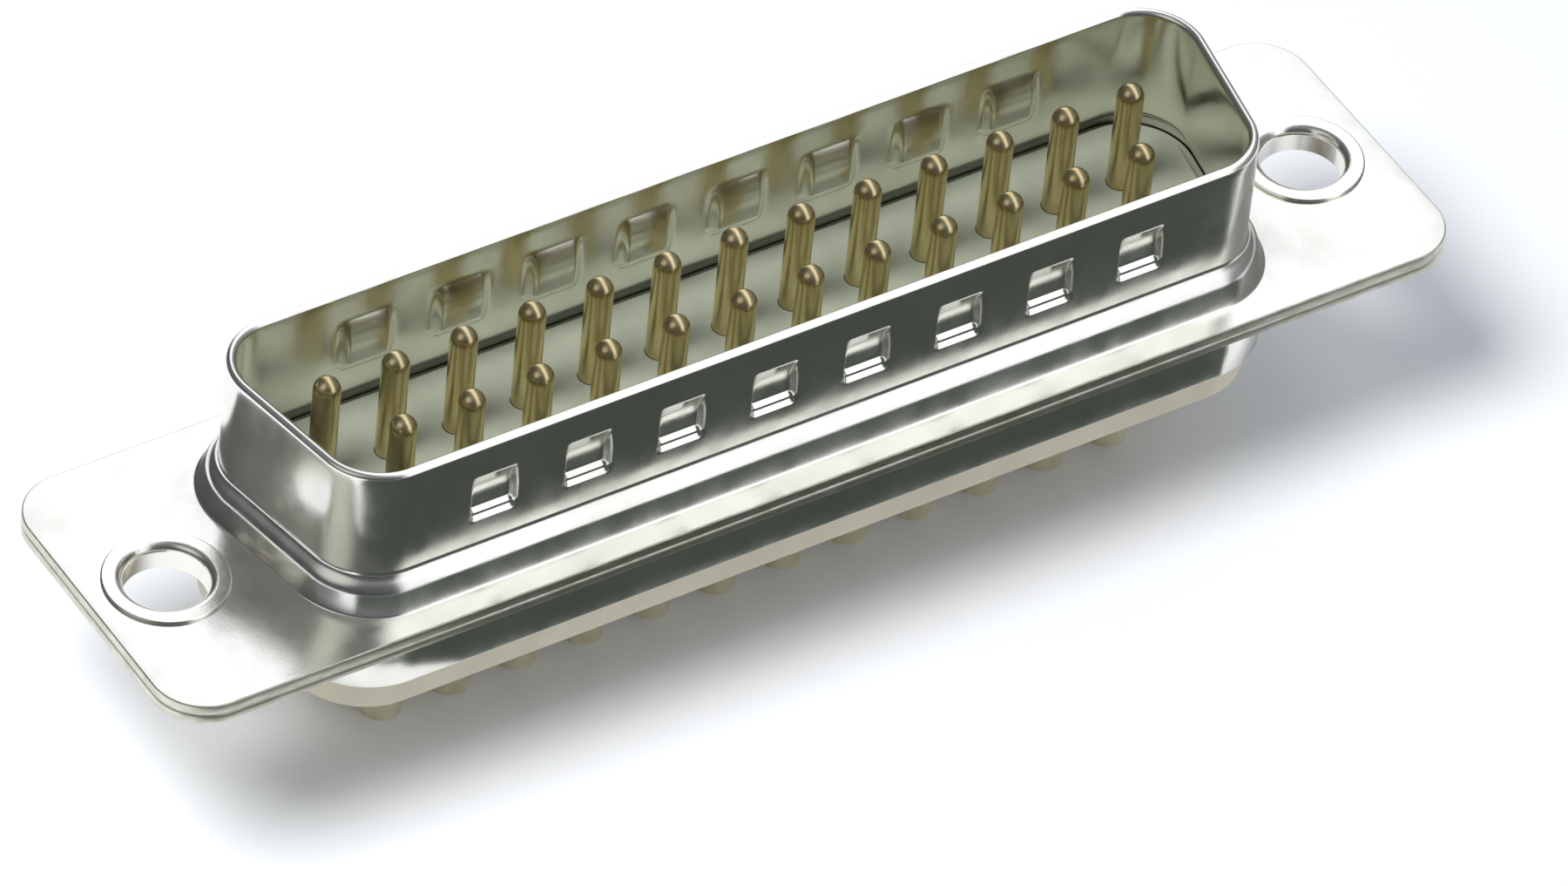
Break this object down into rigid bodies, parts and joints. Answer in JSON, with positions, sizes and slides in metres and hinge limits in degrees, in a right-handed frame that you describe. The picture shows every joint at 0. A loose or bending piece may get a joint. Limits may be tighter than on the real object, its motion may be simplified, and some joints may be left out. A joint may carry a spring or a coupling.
{
  "type": "d-sub connector",
  "caption": "Male D-sub connector with a dimpled D-shaped shell, riveted mounting flange, round pins and solder cups.",
  "frame": {"origin": "midway between the two mounting holes, on the front face of the flange", "axes": "+Z in the mating direction, +X along the connector through both mounting holes, +Y towards the longer row of contacts"},
  "size_m": [0.053, 0.0126, 0.0147],
  "materials": {
    "plated_steel": "bright tin plate",
    "plated_eyelet": "bright tin plate",
    "front_moulding": "moulded satin",
    "rear_moulding": "moulded satin",
    "plated_contact": "gold plate"
  },
  "bodies": {
    "root": {"front_shell": "plated_steel", "rear_shell": "plated_steel", "front_insulator": "front_moulding", "rear_insulator": "rear_moulding", "eyelet_left": "plated_eyelet", "eyelet_right": "plated_eyelet", "contact_01": "plated_contact", "contact_02": "plated_contact", "contact_03": "plated_contact", "contact_04": "plated_contact", "contact_05": "plated_contact", "contact_06": "plated_contact", "contact_07": "plated_contact", "contact_08": "plated_contact", "contact_09": "plated_contact", "contact_10": "plated_contact", "contact_11": "plated_contact", "contact_12": "plated_contact", "contact_13": "plated_contact", "contact_14": "plated_contact", "contact_15": "plated_contact", "contact_16": "plated_contact", "contact_17": "plated_contact", "contact_18": "plated_contact", "contact_19": "plated_contact", "contact_20": "plated_contact", "contact_21": "plated_contact", "contact_22": "plated_contact", "contact_23": "plated_contact", "contact_24": "plated_contact", "contact_25": "plated_contact"}
  },
  "joints": []
}
